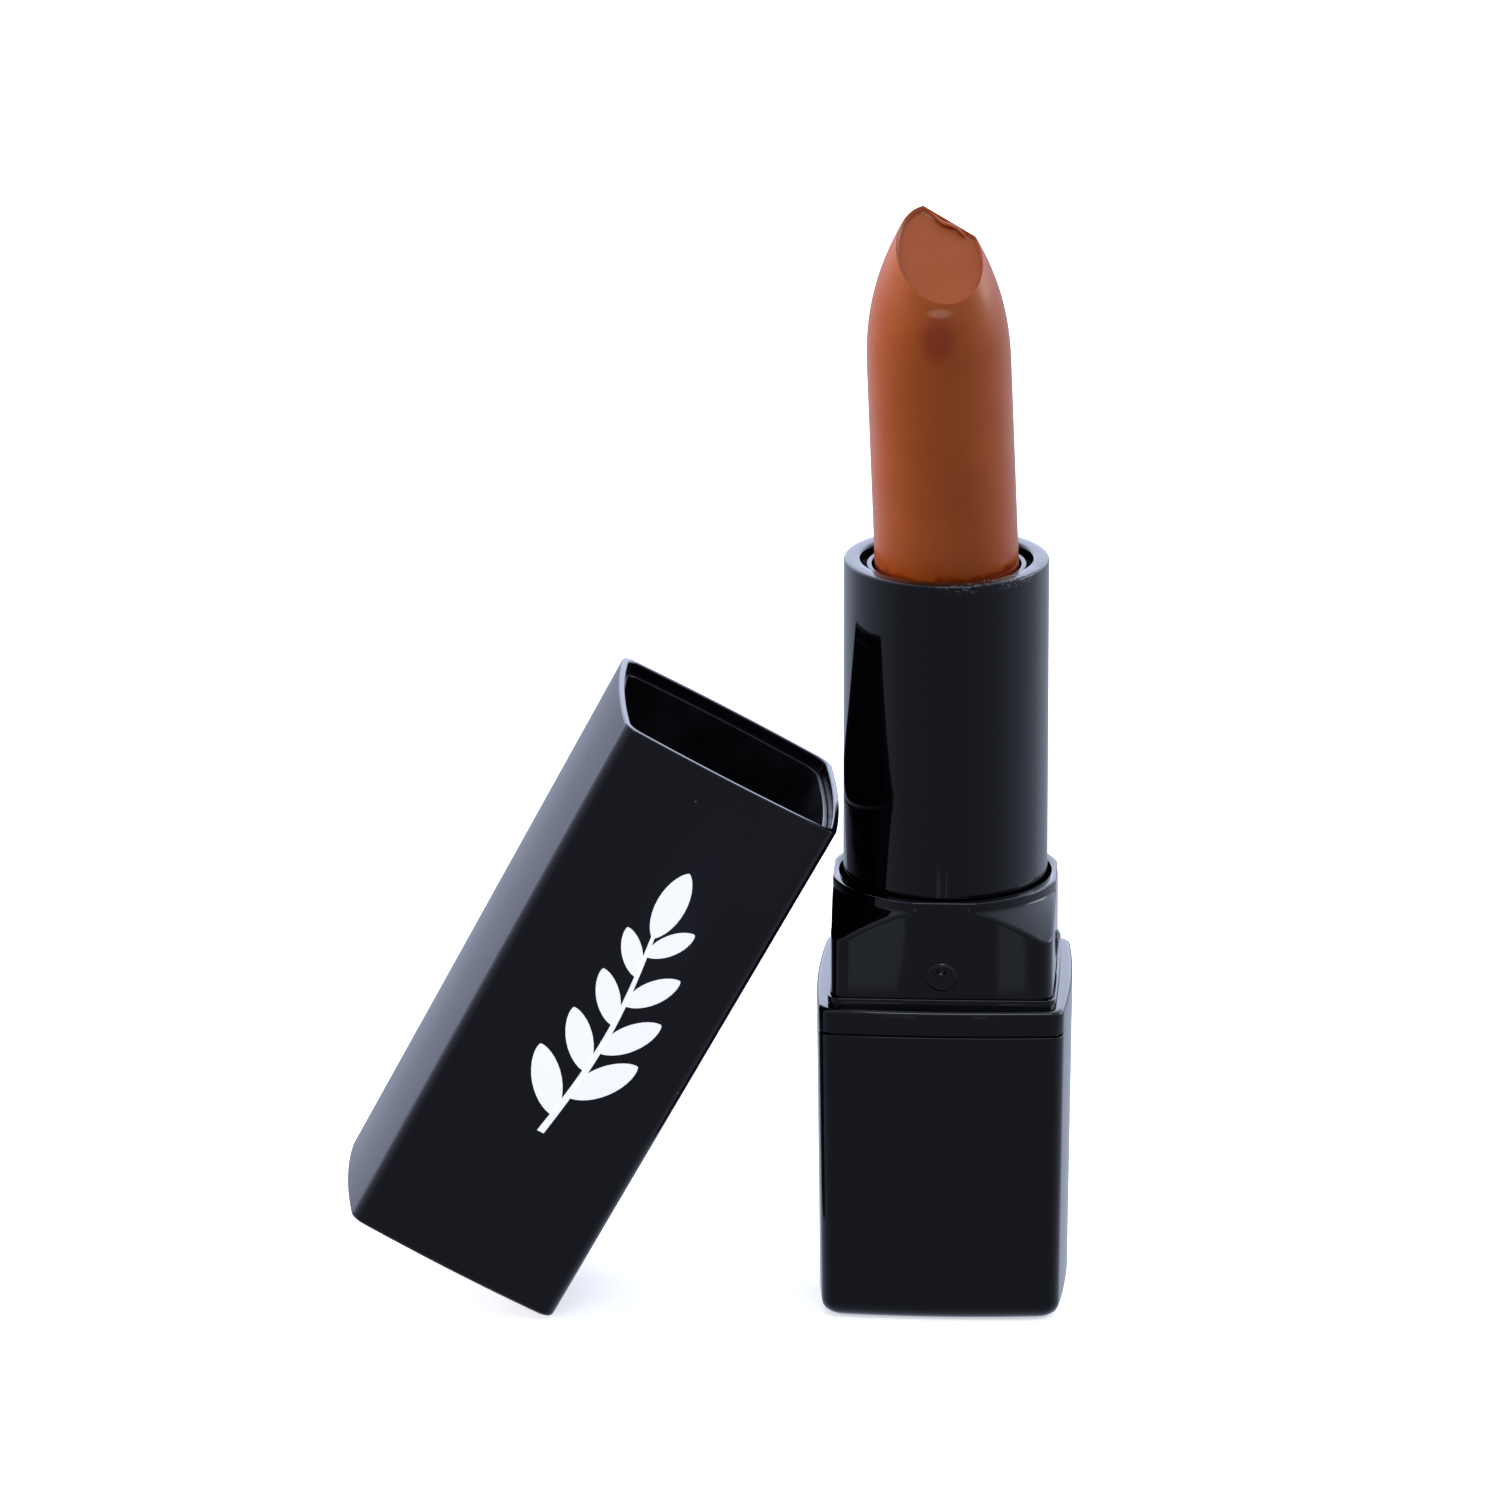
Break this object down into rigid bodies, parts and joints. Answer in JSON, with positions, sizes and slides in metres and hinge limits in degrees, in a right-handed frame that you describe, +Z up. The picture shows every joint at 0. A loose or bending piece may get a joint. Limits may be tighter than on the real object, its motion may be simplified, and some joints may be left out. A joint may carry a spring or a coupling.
{
  "type": "lipstick case",
  "caption": "Square twist-up lipstick case standing open, with its slant-cut bullet raised on a round tube and its square cap leaning against it.",
  "frame": {"origin": "middle of the flat underside of the base, where it stands", "axes": "+Z up along the case, -Y the front that the bullet's slanted cut faces, -X towards the cap"},
  "size_m": [0.061, 0.0235, 0.0935],
  "materials": {
    "black_gloss": "mirror-smooth black",
    "black_cap": "mirror-smooth black",
    "inner_plastic": "semi-gloss black",
    "cup_shine": "polished black",
    "steel": "turned",
    "rubber": "greased",
    "paper": "satin sticker",
    "lip_wax": "satin wax"
  },
  "bodies": {
    "base": {"base_shell": "black_gloss", "base_collar": "black_gloss", "neck": "black_gloss", "fork": "inner_plastic", "base_weight": "steel", "friction_ring": "rubber", "shade_label": "paper"},
    "sleeve": {"tube": "black_gloss", "spiral": "inner_plastic"},
    "carriage": {"cup": "cup_shine", "bullet": "lip_wax"},
    "cap": {"cap_shell": "black_cap", "cap_liner": "inner_plastic"}
  },
  "joints": [
    {"name": "sleeve_twist", "type": "hinge", "parent": "base", "child": "sleeve", "pos_m": [0, 0, 0.03], "axis": [0, 0, 1], "range_deg": [0, 540]},
    {"name": "bullet_rise", "type": "slide", "parent": "base", "child": "carriage", "axis": [0, 0, 1], "range_m": [-0.031, 0]},
    {"name": "cap_tip", "type": "hinge", "parent": "base", "child": "cap", "pos_m": [-0.0329, -0.0022, 0.00045], "axis": [-0.061, 0.9981, 0], "range_deg": [-28.7, 0]}
  ],
  "couplings": [
    {"joint": "bullet_rise", "follows": "sleeve_twist", "m_per_rad": -0.0032892}
  ]
}
